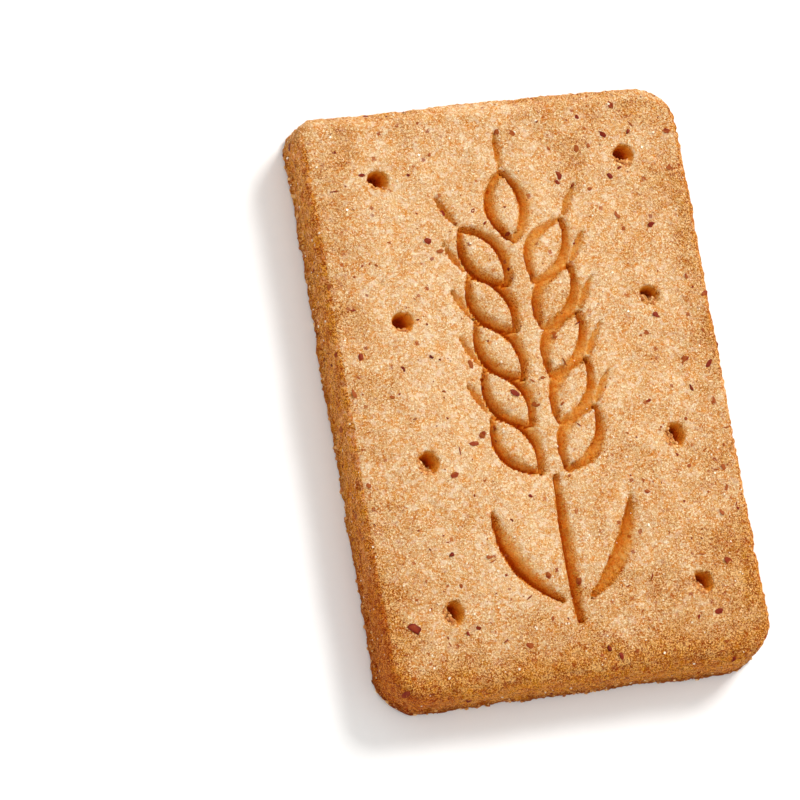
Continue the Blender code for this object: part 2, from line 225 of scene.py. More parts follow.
# The scorched near corner, and the painted shadow along the bottom edge of the walls.
SCORCH_ALONG = (-8 * MM, -24 * MM)
SCORCH_ACROSS = (-12 * MM, -18 * MM)
SOLE_SHADOW_TOP = (0.50 * MM, 1.70 * MM)
SOLE_SHADOW_SHARE = 0.25
SOLE_SHADOW_NEAR_STRETCH = (-27 * MM, -31 * MM)

# Form of the baked body.


def smooth_step(low, high, value):
    share = np.clip((value - low) / (high - low), 0.0, 1.0)
    return share * share * (3 - 2 * share)


def corner_radius(x, y):
    """Radius of the nearest corner, passing smoothly from one to the next."""
    near_left, near_right, far_right, far_left = CORNER_RADII
    across = np.clip(x / WIDTH + 0.5, 0, 1)
    along = np.clip(y / LENGTH + 0.5, 0, 1)
    near = near_left + (near_right - near_left) * across
    far = far_left + (far_right - far_left) * across
    return near + (far - near) * along


def rounded_plan(x, y, half_x, half_y, radius):
    """Moves points of a rectangle into the same rectangle with rounded corners. Also gives
    how far the outline there faces along Y: 0 on the long sides, 1 on the ends."""
    a = np.maximum(np.abs(x) - (half_x - radius), 0.0) / radius
    b = np.maximum(np.abs(y) - (half_y - radius), 0.0) / radius
    facing_x = a * np.sqrt(np.maximum(1 - b * b / 2, 0))
    facing_y = b * np.sqrt(np.maximum(1 - a * a / 2, 0))
    corner = (a > 0) & (b > 0)
    bent_x = np.sign(x) * (half_x - radius * (1 - facing_x))
    bent_y = np.sign(y) * (half_y - radius * (1 - facing_y))
    end_share = facing_y**2 / np.maximum(facing_x**2 + facing_y**2, 1e-9)
    return np.where(corner, bent_x, x), np.where(corner, bent_y, y), end_share


def crown(x, y):
    """Share of the crown's rise; it eases out at the edge, so that no crease runs round it."""
    across = 1 - np.clip(x / FACE_HALF_X, -1, 1) ** 4
    along = 1 - np.clip(y / FACE_HALF_Y, -1, 1) ** 4
    return (across * along) ** CROWN_EASE


def noise_at(points, size, shift):
    """Smooth noise from -1 to 1 whose lumps are about that size."""
    move = Vector((shift, -shift, 0.5 * shift))
    return np.array([noise.noise(Vector(point) / size + move) for point in points])


def unevenness(points):
    """How far baking has moved each point: the same wander, swells and crags as the solid."""
    moved = np.empty_like(points)
    for k, (x, y, z) in enumerate(points):
        place = Vector((x, y, z))
        wander = noise.noise_vector(place / WANDER_SIZE) * WANDER_REACH
        swell = noise.noise(Vector((x, y, 0.5 * z)) / SWELL_SIZE) * SWELL_HEIGHT
        crag = noise.noise(place / CRAG_SIZE) * CRAG_HEIGHT
        rise = (swell + crag) * min(1.0, z / THICKNESS) ** 2
        moved[k] = (wander.x + crag, wander.y - crag, rise)
    return moved


def side_section(shoulder):
    """(inset from the foot's outline, height) of each row, from the face's edge to the base."""
    wall_top = THICKNESS - CROWN_RISE - shoulder
    rows = []
    for k in range(1, ARC_ROWS + 1):
        turn = math.radians(90) * (1 - k / ARC_ROWS)
        inset = FOOT_SPREAD + shoulder * (1 - math.cos(turn))
        rows.append((inset, wall_top + shoulder * math.sin(turn)))
    for k in range(1, WALL_ROWS + 1):
        share = k / WALL_ROWS
        inset = FOOT_SPREAD * (1 - (1 - FOOT_SHARE) * share)
        rows.append((inset, wall_top + (FOOT_HEIGHT - wall_top) * share))
    for k in range(1, FOOT_ROWS + 1):
        share = k / FOOT_ROWS
        low = 2 * BASE_EDGE_RADIUS
        inset = FOOT_SHARE * FOOT_SPREAD * (1 - share) ** 1.4
        rows.append((inset, FOOT_HEIGHT + (low - FOOT_HEIGHT) * share))
    rows.append((0.03 * MM, 0.20 * MM))
    rows.append((0.10 * MM, 0.08 * MM))
    rows.append((BASE_EDGE_RADIUS, 0.0))
    return rows


# The stamp, as strokes: points along each, its half widths there and its depth.


def stroke(foot, lean, length, bend, width, foot_share, tip_share, depth):
    share = np.linspace(0, 1, STROKE_SAMPLES)
    along = np.array((math.sin(lean), math.cos(lean)))
    across = np.array((math.cos(lean), -math.sin(lean)))
    bow = bend * 4 * share * (1 - share)
    path = np.asarray(foot) + np.array(DIE_SHIFT)
    path = path + np.outer(share * length, along) + np.outer(bow, across)
    end = np.where(share < 0.5, foot_share, tip_share)
    widths = width * (end + (1 - end) * np.sin(math.pi * share))
    return path, widths / 2, depth


def grain_strokes(x, y, lean, bristle_lean):
    along = np.array((math.sin(lean), math.cos(lean)))
    foot = np.array((x, y)) - along * GRAIN_LENGTH / 2
    tip = np.array((x, y)) + along * (GRAIN_LENGTH / 2 + BRISTLE_GAP)
    strokes = [
        stroke(foot, lean, GRAIN_LENGTH, side * GRAIN_WIDTH / 2, GROOVE_WIDTH, 0.5, 0.4, GROOVE_DEPTH)
        for side in (-1, 1)
    ]
    strokes.append(stroke(tip, bristle_lean, BRISTLE_LENGTH, 0.0, BRISTLE_WIDTH, 0.6, 0.3,
                          BRISTLE_DEPTH))
    return strokes


def ear_strokes():
    strokes = []
    for pair in range(GRAIN_PAIRS):
        for side in (-1, 1):
            y = FIRST_GRAIN_Y + pair * GRAIN_PITCH
            strokes += grain_strokes(side * GRAIN_OFFSET, y, side * GRAIN_LEAN, side * BRISTLE_LEAN)
    top = FIRST_GRAIN_Y + (GRAIN_PAIRS - 1) * GRAIN_PITCH + TIP_GRAIN_GAP
    strokes += grain_strokes(0.0, top, 0.0, 0.0)
    strokes.append(stroke((0.0, STALK_FOOT_Y), 0.0, STALK_TOP_Y - STALK_FOOT_Y, 0.0, STALK_WIDTH,
                          0.7, 0.5, GROOVE_DEPTH))
    for side in (-1, 1):
        strokes.append(stroke((side * BLADE_FOOT_X, BLADE_FOOT_Y), side * BLADE_LEAN, BLADE_LENGTH,
                              side * BLADE_BEND, BLADE_WIDTH, 0.3, 0.1, GROOVE_DEPTH))
    return strokes


def stamp_under(plan, strokes, wobble):
    """For each point of the plan: distance to the nearest lip (inside is negative), the way
    out of the groove there, the stamp's depth, and how far the shoulder by it has sunk. A
    groove drops steeply on one side and slopes up to a soft shoulder on the other."""
    lip = np.full(len(plan), 5 * MM)
    way = np.zeros((len(plan), 2))
    depth = np.zeros(len(plan))
    shoulder = np.zeros(len(plan))
    drag = np.array((math.cos(STAMP_DRAG_WAY), math.sin(STAMP_DRAG_WAY)))
    for path, half_widths, full_depth in strokes:
        near = np.all((plan > path.min(0) - STAMP_REACH) & (plan < path.max(0) + STAMP_REACH), axis=1)
        ids = np.flatnonzero(near)
        if not len(ids):
            continue
        apart = plan[ids, None, :] - path[None, :, :]
        distance = np.linalg.norm(apart, axis=2)
        width = half_widths[None, :] * (1 + wobble[ids, None])
        best = np.argmin(distance - width, axis=1)
        row = np.arange(len(ids))
        d = distance[row, best]
        w = width[row, best]
        out = apart[row, best] / np.maximum(d, 1e-6)[:, None]
        along = np.gradient(path, axis=0)
        along /= np.linalg.norm(along, axis=1)[:, None]
        crossing = np.abs(along[:, 0] * drag[1] - along[:, 1] * drag[0])[best]
        gentle = smooth_step(-0.35, 0.55, out @ drag)
        far = w * (1 + (STAMP_SLOPE - 1) * gentle)
        near_share = np.clip(d / w, 0, 1)
        far_share = np.clip(d / far, 0, 1)
        drop = (0.86 + 0.14 * smooth_step(0, 0.6, near_share)) * (1 - smooth_step(0.66, 1, near_share))
        slope = 0.86 * (1 - far_share) ** 1.15
        sunk = full_depth * (drop * (1 - gentle) + slope * gentle) * (0.72 + 0.28 * crossing)
        depth[ids] = np.maximum(depth[ids], sunk)
        beside = STAMP_SHOULDER * gentle * far_share**2
        beside *= np.exp(-np.maximum(d - far, 0) / STAMP_SHOULDER_REACH)
        shoulder[ids] = np.hypot(shoulder[ids], beside)
        nearer = d - w < lip[ids]
        lip[ids] = np.where(nearer, d - w, lip[ids])
        way[ids] = np.where(nearer[:, None], out, way[ids])
    return lip, way, depth, np.minimum(shoulder, 1.6 * STAMP_SHOULDER)


def hole_centres():
    return [
        (DIE_SHIFT[0] + side * HOLE_CELLS_X * CELL, DIE_SHIFT[1] + row * CELL)
        for side in (-1, 1) for row in HOLE_CELLS_Y
    ]


def rings_round_holes(plan):
    """Bends the square cells round each hole into rings, so that its mouth comes out round."""
    cells = np.array([k * CELL for k in range(len(HOLE_RINGS))] + [HOLE_PATCH_CELLS * CELL])
    radii = np.array([r * MM for r in HOLE_RINGS] + [HOLE_PATCH_CELLS * CELL])
    for centre in hole_centres():
        apart = plan - np.array(centre)
        square = np.max(np.abs(apart), axis=1)
        inside = square < HOLE_PATCH_CELLS * CELL - 1e-9
        length = np.maximum(np.linalg.norm(apart, axis=1), 1e-9)
        ring = apart / length[:, None] * np.interp(square, cells, radii)[:, None]
        start = (len(HOLE_RINGS) - 1) * CELL
        keep = smooth_step(start, HOLE_PATCH_CELLS * CELL, square)[:, None]
        moved = ring * (1 - keep) + apart * keep
        plan = np.where(inside[:, None], np.array(centre) + moved, plan)
    return plan


def hole_under(plan):
    """Depth of the docking holes under each point, and how far it is a shelf. The pins tilted
    as they came out: one wall is steep, the one across from it slopes, and some dough was
    drawn in as a shelf of rubble."""
    depth = np.zeros(len(plan))
    shelf = np.zeros(len(plan))
    for k, (centre, form) in enumerate(zip(hole_centres(), HOLE_FORMS)):
        shelf_way, shelf_size, long_side = math.radians(form[0]), form[1], form[2]
        apart = (plan - np.array(centre)) / np.array((1.0, long_side))
        length = np.linalg.norm(apart, axis=1)
        ids = np.flatnonzero(length < HOLE_REACH)
        length = length[ids]
        turn = np.arctan2(apart[ids, 1], apart[ids, 0])
        rim = np.column_stack((np.cos(turn), np.sin(turn), np.full(len(ids), 3.0 * k)))
        wave = 1 + 0.16 * noise_at(rim, 0.7, 2.0)
        slope = smooth_step(-0.3, 0.9, np.cos(turn - HOLE_DRAG_WAY))
        mouth = (HOLE_MOUTH_RADIUS - 0.08 * MM + HOLE_DRAG * slope) * wave
        foot = (HOLE_NECK_RADIUS - 0.12 * MM - 0.44 * MM * slope) * wave
        fall = np.clip((mouth - length) / (mouth - foot), 0, 1) ** (1.3 + 0.5 * slope)
        bowl = np.clip(1 - (length / foot) ** 2, 0, 1)
        here = HOLE_DEPTH * (0.80 * fall + 0.20 * bowl)
        towards = length * np.cos(turn - shelf_way) / HOLE_MOUTH_RADIUS
        edge = 1 - 1.25 * shelf_size + 0.12 * noise_at(rim, 0.5, 7.0)
        share = smooth_step(edge - 0.14, edge + 0.14, towards)
        rubble = noise_at(np.column_stack((plan[ids], np.full(len(ids), k * MM))), 0.4 * MM, 17.0)
        level = HOLE_SHELF_DEPTH * (1 + 1.2 * rubble)
        here = here * (1 - share) + np.minimum(here, level) * share
        depth[ids] = np.maximum(depth[ids], here)
        shelf[ids] = np.maximum(shelf[ids], share * np.clip(here / (0.25 * MM), 0, 1))
    return depth, shelf


def nicks_under(plan):
    """Depth of the crescent nicks under each point."""
    depth = np.zeros(len(plan))
    for x, y, radius, way in NICKS:
        apart = plan - np.array((x, y))
        length = np.linalg.norm(apart, axis=1)
        turn = np.arctan2(apart[:, 1], apart[:, 0])
        opening = smooth_step(-0.2, 0.8, np.cos(turn - math.radians(way)))
        depth += NICK_DEPTH * opening * np.exp(-((length - radius) / NICK_HALF_WIDTH) ** 2)
    return depth


def face_marks(half, shift):
    """Places of the grid lines along one side of the face: whole cells, then the edge."""
    first = math.ceil((-half - shift) / CELL + 0.45)
    last = math.floor((half - shift) / CELL - 0.45)
    return np.concatenate(([-half], np.arange(first, last + 1) * CELL + shift, [half]))


def face_plan():
    """The face's grid seen from above, with rounded corners and with rings round the holes, and
    the places of its lines along X and Y."""
    xs = face_marks(FACE_HALF_X, DIE_SHIFT[0])
    ys = face_marks(FACE_HALF_Y, DIE_SHIFT[1])
    grid_x, grid_y = np.meshgrid(xs, ys, indexing="ij")
    grid_x, grid_y = grid_x.ravel(), grid_y.ravel()
    radius = corner_radius(grid_x, grid_y) - FOOT_SPREAD - (SIDE_SHOULDER + END_SHOULDER) / 2
    flat_x, flat_y, _ = rounded_plan(grid_x, grid_y, FACE_HALF_X, FACE_HALF_Y, radius)
    return rings_round_holes(np.column_stack((flat_x, flat_y))), xs, ys


def pressed_face(plan):
    """The face's points under the die, and how deep the stamp, the holes and the nicks are there
    and how far each point lies on a hole's shelf."""
    # Wander only near its edge, so that holes and stamp keep their places.
    from_edge = np.minimum(FACE_HALF_X - np.abs(plan[:, 0]), FACE_HALF_Y - np.abs(plan[:, 1]))
    level = THICKNESS - CROWN_RISE + CROWN_RISE * crown(plan[:, 0], plan[:, 1])
    moved = unevenness(np.column_stack((plan, level)))
    edge_share = 1 - smooth_step(0.0, EDGE_WANDER_REACH, from_edge)
    plan = plan + moved[:, :2] * edge_share[:, None]

    # Grid points next to a steep lip are moved onto it, so that it comes out sharp.
    strokes = ear_strokes()
    wobble = STROKE_UNEVENNESS * noise_at(np.column_stack((plan, level)), *STROKE_WOBBLE)
    for _ in range(2):
        lip, way, _, _ = stamp_under(plan, strokes, wobble)
        steep = way @ np.array((math.cos(STAMP_DRAG_WAY), math.sin(STAMP_DRAG_WAY))) < 0.1
        snap = ((np.abs(lip) < 0.46 * CELL) & steep)[:, None]
        plan = np.where(snap, plan - way * lip[:, None], plan)
    _, _, stamp_depth, shoulder = stamp_under(plan, strokes, wobble)
    hole_depth, shelf = hole_under(plan)
    nicks = nicks_under(plan)
    face_z = level + moved[:, 2] - shoulder - nicks - np.maximum(stamp_depth, hole_depth)
    return np.column_stack((plan, face_z)), stamp_depth, hole_depth, nicks, shelf


def outline_loop(nx, ny):
    """The outermost points of the face's grid, once round."""
    loop = [(i, 0) for i in range(nx)] + [(nx - 1, j) for j in range(1, ny)]
    loop += [(i, ny - 1) for i in range(nx - 2, -1, -1)] + [(0, j) for j in range(ny - 2, 0, -1)]
    return np.array(loop)


def side_rows(across, along):
    """The face's outline spread out row by row, down to the base."""
    rows = []
    for (side_inset, side_height), (end_inset, end_height) in zip(
            side_section(SIDE_SHOULDER), side_section(END_SHOULDER)):
        half_x = WIDTH / 2 - side_inset
        half_y = LENGTH / 2 - end_inset
        radius = corner_radius(across * half_x, along * half_y) - (side_inset + end_inset) / 2
        x, y, end_share = rounded_plan(across * half_x, along * half_y, half_x, half_y, radius)
        rows.append(np.column_stack((x, y, side_height + (end_height - side_height) * end_share)))
    return rows


def body_faces(nx, ny, loop, row_count):
    """Four-sided faces over the grid and down the rows, and one face for the base."""
    faces = []
    for i in range(nx - 1):
        for j in range(ny - 1):
            first = i * ny + j
            faces.append((first, first + ny, first + ny + 1, first + 1))
    upper = [i * ny + j for i, j in loop]
    for k in range(row_count):
        lower = [nx * ny + k * len(loop) + n for n in range(len(loop))]
        for n in range(len(loop)):
            m = (n + 1) % len(loop)
            faces.append((upper[n], lower[n], lower[m], upper[m]))
        upper = lower
    faces.append(tuple(reversed(upper)))
    return faces


def inset_from_box(points):
    return np.minimum(WIDTH / 2 - np.abs(points[:, 0]), LENGTH / 2 - np.abs(points[:, 1]))


def side_tone(points, normals, sideness):
    """How far each point has the side's tone, which laps over the shoulder of the long sides."""
    over = 1 - smooth_step(*SHOULDER_FACING, np.abs(normals[:, 2]))
    over *= 1 - smooth_step(*SHOULDER_STRETCH, inset_from_box(points))
    over *= normals[:, 0] ** 2 / np.maximum(normals[:, 0] ** 2 + normals[:, 1] ** 2, 1e-9)
    baked_side = np.maximum(sideness, over)
    baked_side *= 1 - FAR_SIDE_PALER * smooth_step(*FAR_SIDE_STRETCH, points[:, 1])
    baked_side *= 1 - RIGHT_SIDE_PALER * smooth_step(*RIGHT_SIDE_STRETCH, points[:, 0])
    return baked_side


def crumbly_relief(points, sideness, deep):
    """How far the crumb stands out at each point."""
    coarse, sandy, fine, pock, dents = (
        noise_at(points, *kind) for kind in (COARSE, SANDY, FINE, POCKS, DENTS))
    relief = DENT_HEIGHT * dents + COARSE_HEIGHT * coarse
    relief += SANDY_HEIGHT * sandy + FINE_HEIGHT * fine
    relief -= POCK_DEPTH * smooth_step(*POCK_EDGE, pock)
    side_pock = SIDE_POCK_DEPTH * smooth_step(*SIDE_POCK_EDGE, pock)
    relief += sideness * (SIDE_SANDY_HEIGHT * sandy + SIDE_FINE_HEIGHT * fine - side_pock)
    return relief * (MM * (1 - CALM_IN_HOLLOWS * deep))


def roughened(points, normals, relief, foot, on_face, base_row):
    """The points with relief along their normals and the skirt of crumb round the foot, kept
    inside the solid's box."""
    clump = noise_at(points, *SKIRT_CLUMPS)
    jag = noise_at(points, *SKIRT_JAGS)
    nick = noise_at(points, *SKIRT_NICKS)
    skirt = SKIRT_REACH + SKIRT_CLUMP * clump + (SKIRT_JAG * jag + SKIRT_NICK * nick) * MM
    outward = normals.copy()
    outward[:, 2] = 0
    outward /= np.maximum(np.linalg.norm(outward, axis=1), 1e-9)[:, None]
    points = points + normals * (relief - INWARD)[:, None] * (1 - base_row)[:, None]
    points = points + outward * (skirt * foot * (1 - (1 - SKIRT_AT_BASE) * base_row))[:, None]
    points[:, 2] += SKIRT_LIFT * foot * jag * (1 - base_row)
    points[base_row, 2] = 0.0
    lowest = np.where(base_row, 0.0, BODY_ROOM)
    points[:, 2] = np.maximum(points[:, 2], np.where(on_face, points[:, 2], lowest))
    for axis in (0, 1):
        low = cad_box[0][axis] + BODY_ROOM
        points[:, axis] = np.clip(points[:, axis], low, cad_box[1][axis] - BODY_ROOM)
    points[:, 2] = np.minimum(points[:, 2], cad_box[1][2] - BODY_ROOM)
    return points


def browning_at(points, baked_side):
    """How brown the crust is at each point, along its ramp of tones."""
    x, y = points[:, 0], points[:, 1]
    browning = EDGE_BROWN * (1 - smooth_step(0.0, EDGE_BROWN_REACH, inset_from_box(points)))
    browning *= 1 - FAR_EDGE_PALER * smooth_step(*FAR_STRETCH, y)
    for along, half in ((x, WIDTH / 2), (y, LENGTH / 2)):
        browning += OUTER_BROWN * (np.abs(along) / half) ** 2
    browning += NEAR_BROWN * smooth_step(*NEAR_STRETCH, y)
    browning += RIGHT_BROWN * smooth_step(*RIGHT_STRETCH, x)
    browning += BAND_BROWN * np.exp(-((x - BAND_X) / BAND_WIDTH) ** 2)
    browning += NEAR_END_BROWN * (1 - smooth_step(*NEAR_END_STRETCH, LENGTH / 2 + y))
    browning += SIDE_BROWN * baked_side
    browning += CLOUD_BROWN * noise_at(points, *BROWN_CLOUDS)
    browning += BLOTCH_BROWN * noise_at(points, *BROWN_BLOTCHES)
    return browning


def make_baked_body(material):
    plan, xs, ys = face_plan()
    face, stamp_depth, hole_depth, nicks, shelf = pressed_face(plan)
    loop = outline_loop(len(xs), len(ys))
    rows = side_rows(xs[loop[:, 0]] / FACE_HALF_X, ys[loop[:, 1]] / FACE_HALF_Y)
    side = np.concatenate(rows)
    side = side + unevenness(side)
    points = np.concatenate((face, side))

    mesh = bpy.data.meshes.new("baked_body")
    mesh.from_pydata(points.tolist(), [], body_faces(len(xs), len(ys), loop, len(rows)))
    mesh.update()
    body = bpy.data.objects.new("baked_body", mesh)
    bpy.context.scene.collection.objects.link(body)

    normals = np.empty(len(points) * 3)
    mesh.vertex_normals.foreach_get("vector", normals)
    normals = normals.reshape(-1, 3)
    on_face = np.arange(len(points)) < len(face)
    base_row = np.arange(len(points)) >= len(points) - len(loop)
    flat = np.zeros(len(side))
    deep = np.concatenate((np.maximum(stamp_depth, hole_depth), flat))
    deep = np.clip(deep / GROOVE_DEPTH, 0, 1)
    sideness = 1 - smooth_step(*SIDE_FACING, np.abs(normals[:, 2]))
    baked_side = side_tone(points, normals, sideness)
    foot = (1 - smooth_step(*SKIRT_TOP, points[:, 2])) * (~on_face)
    relief = crumbly_relief(points, sideness, deep)
    points = roughened(points, normals, relief, foot, on_face, base_row)
    mesh.vertices.foreach_set("co", points.ravel())

    # What the crust's material reads, and what the scattered pieces spread by.
    scorch = smooth_step(*SCORCH_ALONG, points[:, 1]) * smooth_step(*SCORCH_ACROSS, points[:, 0])
    # Painted shadow low on the walls, next to the floor, strongest at the near end.
    sole_shadow = 1 - smooth_step(*SOLE_SHADOW_TOP, points[:, 2])
    sole_shadow *= SOLE_SHADOW_SHARE + (1 - SOLE_SHADOW_SHARE) * smooth_step(*SOLE_SHADOW_NEAR_STRETCH, points[:, 1])
    docked = np.clip(hole_depth / HOLE_DARKEST, 0, 1) * (1 - 0.70 * shelf)
    attributes = {
        "browning": np.clip(browning_at(points, baked_side), 0, 1),
        "sunk": np.clip(np.concatenate((stamp_depth + nicks, flat)) / GROOVE_DEPTH, 0, 1),
        "docked": np.concatenate((docked, flat)),
        "foot": np.clip(foot, 0, 1),
        "crust": np.where(base_row, 0.0, 1.0) * (1 - deep),
        "side": np.clip(baked_side * (1 - deep), 0, 1),
        "scorched": np.clip(baked_side * (1 - deep) * scorch, 0, 1),
        "sole_shadow": np.clip(sole_shadow, 0, 1) * (~on_face),
        "shelf": np.concatenate((shelf, flat)),
    }
    for name, values in attributes.items():
        held = mesh.attributes.new(name, "FLOAT", "POINT")
        held.data.foreach_set("value", values.astype(np.float32))
    mesh.materials.append(material)
    mesh.shade_smooth()
    mesh.update()
    return body


# Materials.


# Tones of the crust on the way from pale to dark.
CRUST_TONES = (
    (0.00, "#e6bf90"), (0.14, "#dcae78"), (0.30, "#d6a363"),
    (0.45, "#ce9048"), (0.62, "#c47a2e"), (1.00, "#a8540f"),
)

# Painted shade in a groove and a hole, by depth: shares of red, green and blue.
GROOVE_PAINTED_SHADE = (
    (0.00, (1.00, 1.00, 1.000, 1.0)),
    (0.30, (1.00, 0.91, 0.700, 1.0)),
    (0.60, (0.97, 0.72, 0.330, 1.0)),
    (0.80, (0.84, 0.44, 0.100, 1.0)),
    (0.91, (0.48, 0.13, 0.010, 1.0)),
    (1.00, (0.28, 0.04, 0.002, 1.0)),
)
HOLE_PAINTED_SHADE = (
    (0.00, (1.00, 1.00, 1.000, 1.0)),
    (0.08, (1.00, 0.80, 0.440, 1.0)),
    (0.30, (1.00, 0.64, 0.190, 1.0)),
    (0.62, (0.94, 0.38, 0.050, 1.0)),
    (1.00, (0.74, 0.19, 0.010, 1.0)),
)
SCORCH_TINT = (0.84, 0.64, 0.46, 1.0)
SOLE_SHADOW_TINT = (0.58, 0.46, 0.36, 1.0)
SEEN_THROUGH = (0.90 * MM, 0.40 * MM, 0.15 * MM)

# Patterns of the crust: size of the lumps in millimetres, detail, roughness and distortion.
CRUST_LUMPS = {
    "clouds": (6.0, 3.0, 0.55, 0.0),
    "blotches": (1.4, 3.0, 0.55, 0.0),
    "wall blotches": (0.8, 3.0, 0.65, 0.0),
    "wall tones": (0.55, 3.0, 0.65, 0.0),
    "small toast": (0.45, 2.0, 0.60, 0.9),
    "large toast": (1.1, 3.0, 0.60, 0.0),
    "small honey": (0.9, 2.0, 0.60, 0.0),
    "large honey": (2.0, 2.0, 0.60, 0.0),
    "smudges": (1.0, 3.0, 0.62, 0.5),
    "cream patches": (1.5, 3.0, 0.62, 0.5),
    "grain": (0.195, 2.0, 0.75, 0.9),
    "grain patches": (2.4, 2.0, 0.55, 0.0),
    "flour": (0.7, 2.0, 0.60, 0.0),
    "grit": (0.14, 2.0, 0.60, 0.0),
    "grit patches": (1.6, 2.0, 0.55, 0.0),
    "dull patches": (0.5, 2.0, 0.55, 0.0),
}

# Shares read off the patterns and off the mesh: the source, the values between which the share
# goes from its first to its last, and those two, where they aren't 0 and 1.
CRUST_SHARES = {
    "on the side": ("side", 0.15, 1.0, 0.0, 0.70),
    "wall tones": ("wall tones", 0.42, 0.58),
    "small toast": ("small toast", 0.47, 0.68, 0.0, 0.62),
    "large toast": ("large toast", 0.50, 0.72, 0.0, 0.62),
    "small honey": ("small honey", 0.44, 0.62, 0.0, 0.80),
    "large honey": ("large honey", 0.44, 0.62, 0.0, 0.80),
    "browner": ("brown", 0.16, 0.55),
    "smudges": ("smudges", 0.51, 0.63, 0.0, 0.80),
    "cream patches": ("cream patches", 0.50, 0.62, 0.0, 0.70),
    "less cream on the side": ("side", 0.1, 0.8, 1.0, 0.4),
    "less grain on the side": ("side", 0.2, 1.0, 1.0, 0.48),
    "less grain in holes": ("docked", 0.0, 0.2, 1.0, 0.05),
    "less grain in grooves": ("sunk", 0.05, 0.6, 1.0, 0.12),
    "grain on top": ("grain", 0.50, 0.64),
    "more grain where brown": ("brown", 0.05, 0.5, 0.95, 1.15),
    "browner grain": ("brown", 0.15, 0.75),
    # Dark gaps of the grain: partly painted shade.
    "gaps": ("grain", 0.50, 0.38),
    "more gaps where brown": ("brown", 0.05, 0.5, 0.56, 1.20),
    "grain patches": ("grain patches", 0.38, 0.62, 0.86, 1.10),
    "fewer gaps in holes": ("docked", 0.0, 0.2, 1.0, 0.7),
    "browner gaps": ("brown", 0.15, 0.60),
    "flour": ("flour", 0.50, 0.68),
    "less flour where brown": ("brown", 0.12, 0.50, 0.52, 0.06),
    # Grit's dark gaps and golden points: partly painted shade and painted highlight.
    "dark grit and shade": ("grit", 0.47, 0.34, 0.0, 0.90),
    "golden grit and highlight": ("grit", 0.53, 0.65, 0.0, 0.85),
    "grit patches": ("grit patches", 0.36, 0.64, 0.45, 1.0),
    "edge of the foot": ("foot", 0.5, 1.0, 0.0, 0.40),
    "saturation": ("brown", 0.2, 0.7, 1.0, 1.06),
    # Painted light: the walls' colour made lighter.
    "painted light on the side": ("side", 0.2, 1.0, 1.0, 1.13),
    # Painted shade: the golden tone at a hole's mouth.
    "painted shade at the mouth": ("docked", 0.02, 0.25, 0.0, 0.40),
    "roughness": ("dull patches", 0.3, 0.7, 0.62, 0.86),
    "shine": ("hollow", 0.05, 0.5, 0.10, 0.0),
    "light through the dough": ("hollow", 0.05, 0.5, 0.10, 0.45),
    "coarseness": ("brown", 0.10, 0.65, 0.22 * MM, 0.36 * MM),
}


def tone(code):
    """A linear colour from an sRGB hex value."""
    parts = [int(code[k:k + 2], 16) / 255 for k in (1, 3, 5)]
    linear = [c / 12.92 if c <= 0.04045 else ((c + 0.055) / 1.055) ** 2.4 for c in parts]
    return (*linear, 1.0)


def feed(tree, node, inputs):
    """Sets inputs of a node, by name or in their order: each to a value, or to the socket that
    feeds it."""
    pairs = inputs.items() if isinstance(inputs, dict) else enumerate(inputs)
    for key, value in pairs:
        socket = node.inputs[key]
        if isinstance(value, bpy.types.NodeSocket):
            tree.links.new(value, socket)
        else:
            socket.default_value = value


def add(tree, kind, inputs=(), out=None, **settings):
    """Adds a node with its settings and inputs. Gives the node, or the output that is asked for."""
    node = tree.nodes.new(kind)
    for name, value in settings.items():
        setattr(node, name, value)
    feed(tree, node, inputs)
    return node if out is None else node.outputs[out]


def new_surface(name):
    """A material, its tree and its surface, and where the surface is in millimetres."""
    material = bpy.data.materials.new(name)
    material.use_nodes = True
    tree = material.node_tree
    place = add(tree, "ShaderNodeTexCoord", out="Object")
    in_mm = add(tree, "ShaderNodeVectorMath", {0: place, "Scale": 1000.0}, out=0, operation="SCALE")
    return material, tree, tree.nodes["Principled BSDF"], in_mm


def ramp_stops(ramp, stops):
    elements = ramp.color_ramp.elements
    while len(elements) < len(stops):
        elements.new(0.5)
    for element, (place, colour) in zip(elements, stops):
        element.position = place
        element.color = colour if isinstance(colour, tuple) else tone(colour)


def painted(tree, colour, coats):
    """Lays coats of colour over one another: each is a tint, how it blends and its shares, which
    together say how thick it lies."""
    for tint, blend, *shares in coats:
        thickness = shares[0]
        for more in shares[1:]:
            thickness = add(tree, "ShaderNodeMath", (thickness, more), out=0, operation="MULTIPLY")
        colour = add(tree, "ShaderNodeMix", {0: thickness, 6: colour, 7: tint}, out=2,
                     data_type="RGBA", blend_type=blend)
    return colour


def bran_specks(tree, in_mm):
    """Bran too small for a flake: angular specks of 0.2 to 0.6 mm in one cell of several. Gives
    where they are and their tone."""
    ragged = add(tree, "ShaderNodeTexNoise", {"Vector": in_mm, "Scale": 5.0, "Detail": 2.0},
                 out="Color")
    ragged = add(tree, "ShaderNodeVectorMath", {0: ragged, "Scale": 0.45}, out=0, operation="SCALE")
    place = add(tree, "ShaderNodeVectorMath", (in_mm, ragged), out=0, operation="ADD")
    cells = add(tree, "ShaderNodeTexVoronoi", {"Vector": place, "Scale": 1 / 1.1}, feature="F1",
                distance="CHEBYCHEV")
    picked = add(tree, "ShaderNodeSeparateColor", {"Color": cells.outputs["Color"]})
    size = add(tree, "ShaderNodeMapRange", (picked.outputs["Red"], 0.60, 1.0, -0.05, 0.20), out=0,
               interpolation_type="SMOOTHSTEP")
    past = add(tree, "ShaderNodeMath", (cells.outputs["Distance"], size), out=0, operation="SUBTRACT")
    speck = add(tree, "ShaderNodeMapRange", (past, 0.03, -0.03), out=0,
                interpolation_type="SMOOTHSTEP")
    return speck, painted(tree, tone("#b85a14"), ((tone("#93300f"), "MIX", picked.outputs["Green"]),))


